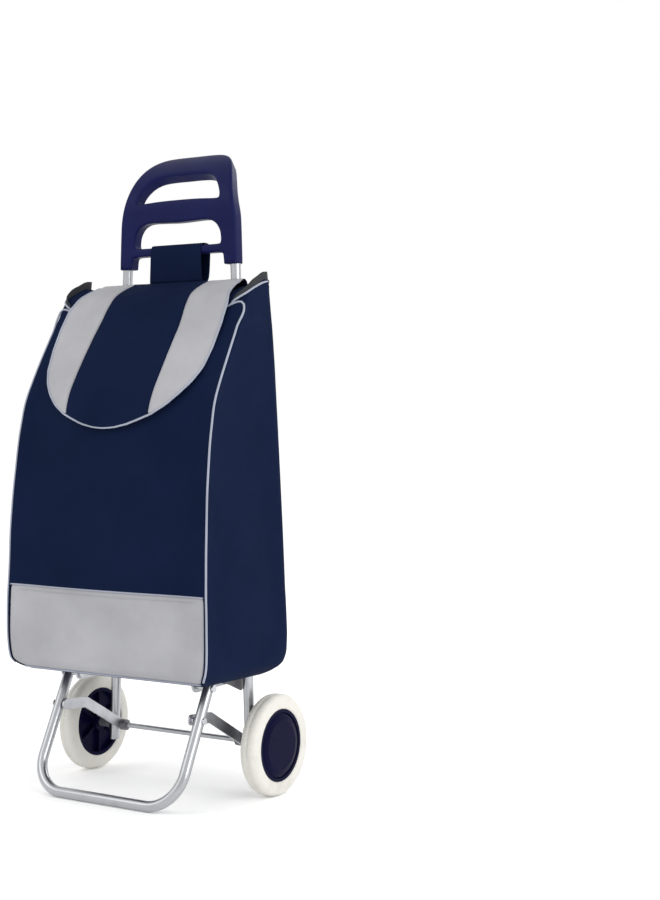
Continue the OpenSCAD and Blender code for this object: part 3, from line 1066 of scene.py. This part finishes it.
# How far each ring of the board is drawn in, and its height as a share of the box plus metres
BOARD_RINGS = (
    (0.02, 0, 0.0), (0.0012, 0, 0.0), (0.0, 0, 0.0012), (0.0, 1, -0.0012),
    (0.0012, 1, 0.0), (0.02, 1, -0.0004), (0.05, 1, -0.001),
)
BOARD_CORNER_R = 0.018


def build_board():
    """Stiff board in the bottom of the bag: rounded corners, rolled edges, a slight dish."""
    lo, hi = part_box("base_board")
    cx, cy = (lo[0] + hi[0]) / 2, (lo[1] + hi[1]) / 2
    hx, hy, r = (hi[0] - lo[0]) / 2, (hi[1] - lo[1]) / 2, BOARD_CORNER_R
    verts, seg = [], 8
    for inset, top, dz in BOARD_RINGS:
        z = (hi if top else lo)[2] + dz
        round_r = r - min(inset, 0.012)
        pull = max(0, inset - 0.012)
        for q, (sx, sy) in enumerate(((1, 1), (-1, 1), (-1, -1), (1, -1))):
            for k in range(seg + 1):
                a = math.radians(90 * q + 90 * k / seg)
                x = cx + sx * (hx - r) + round_r * math.cos(a) - sx * pull
                y = cy + sy * (hy - r) + round_r * math.sin(a) - sy * pull
                verts.append((x, y, z))
    n = 4 * (seg + 1)
    last = len(verts) - n
    faces = grid_faces(len(BOARD_RINGS), n, wrap=True)
    faces += [tuple(range(n))[::-1], tuple(last + k for k in range(n))]
    ob = mesh_object("bottom_board", verts, faces)
    tidy_normals(ob)
    return finish_piece(ob, "frame", SLOT_OF["base_board"], "base_board")


build_board()

# Pieces of the bag and flap, each given its own copy of its mesh
SQUASHED = (
    "bag_cloth_body", "bag_cloth_band", "bag_cloth_piping", "bag_back_binding", "bag_rim_lining",
    "bag_stitch_band", "bag_mouth_binding", "bottom_board", "flap_centre", "flap_stripe_left",
    "flap_stripe_right", "flap_edge_piping", "flap_stitch_left", "flap_stitch_right",
)
for name in SQUASHED:
    ob = bpy.data.objects[name]
    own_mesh(ob)


# ---------------------------------------------------------------- studio

def studio():
    """White floor and surroundings with three soft lights."""
    me = bpy.data.meshes.new("floor")
    me.from_pydata([(-30, -30, 0), (30, -30, 0), (30, 60, 0), (-30, 60, 0)], [], [(0, 1, 2, 3)])
    floor = add_object("studio_floor", me)
    m = Nodes("floor_paint", 0.9)
    stops = [(0.3, (0.95, 0.95, 0.95, 1)), (0.7, (0.97, 0.97, 0.97, 1))]
    m.link(m.ramp(m.noise(1.5, 2), stops), m.bsdf.inputs["Base Color"])
    m.bsdf.inputs["Emission Color"].default_value = (1, 1, 1, 1)
    m.bsdf.inputs["Emission Strength"].default_value = 0.12
    me.materials.append(m.mat)
    world = bpy.data.worlds.new("studio")
    bpy.context.scene.world = world
    world.use_nodes = True
    bg = world.node_tree.nodes["Background"]
    bg.inputs[0].default_value = (1.0, 1.0, 1.0, 1)
    bg.inputs[1].default_value = 1.0
    for name, at, size, power, to in (
        ("key", (-1.6, -2.2, 2.3), 1.4, 12, (0, 0, 0.5)),
        ("side", (2.8, -0.4, 1.3), 1.6, 27, (0, 0, 0.45)),
        ("back", (0.6, 2.2, 2.0), 1.4, 14, (0, 0, 0.6)),
    ):
        li = bpy.data.lights.new(name, "AREA")
        li.size, li.energy = size, power
        ob = add_object(name, li)
        ob.location = at
        ob.rotation_euler = (Vector(to) - Vector(at)).to_track_quat("-Z", "Y").to_euler()


def camera():
    """The photograph's viewpoint, with the same shift of the frame."""
    cam = bpy.data.cameras.new("camera")
    ob = add_object("camera", cam)
    ob.location = (1.556, -2.093 + AXLE_Y, 0.5706)
    ob.rotation_euler = Vector((-0.5654, 0.8248, 0.0)).to_track_quat("-Z", "Y").to_euler()
    cam.sensor_width = 36
    cam.lens = 66.76
    cam.shift_x, cam.shift_y = 0.0944, -0.0386
    cam.clip_end = 50
    bpy.context.scene.camera = ob


studio()
camera()
bpy.context.scene.view_settings.view_transform = "Standard"
bpy.context.scene.view_settings.look = "None"
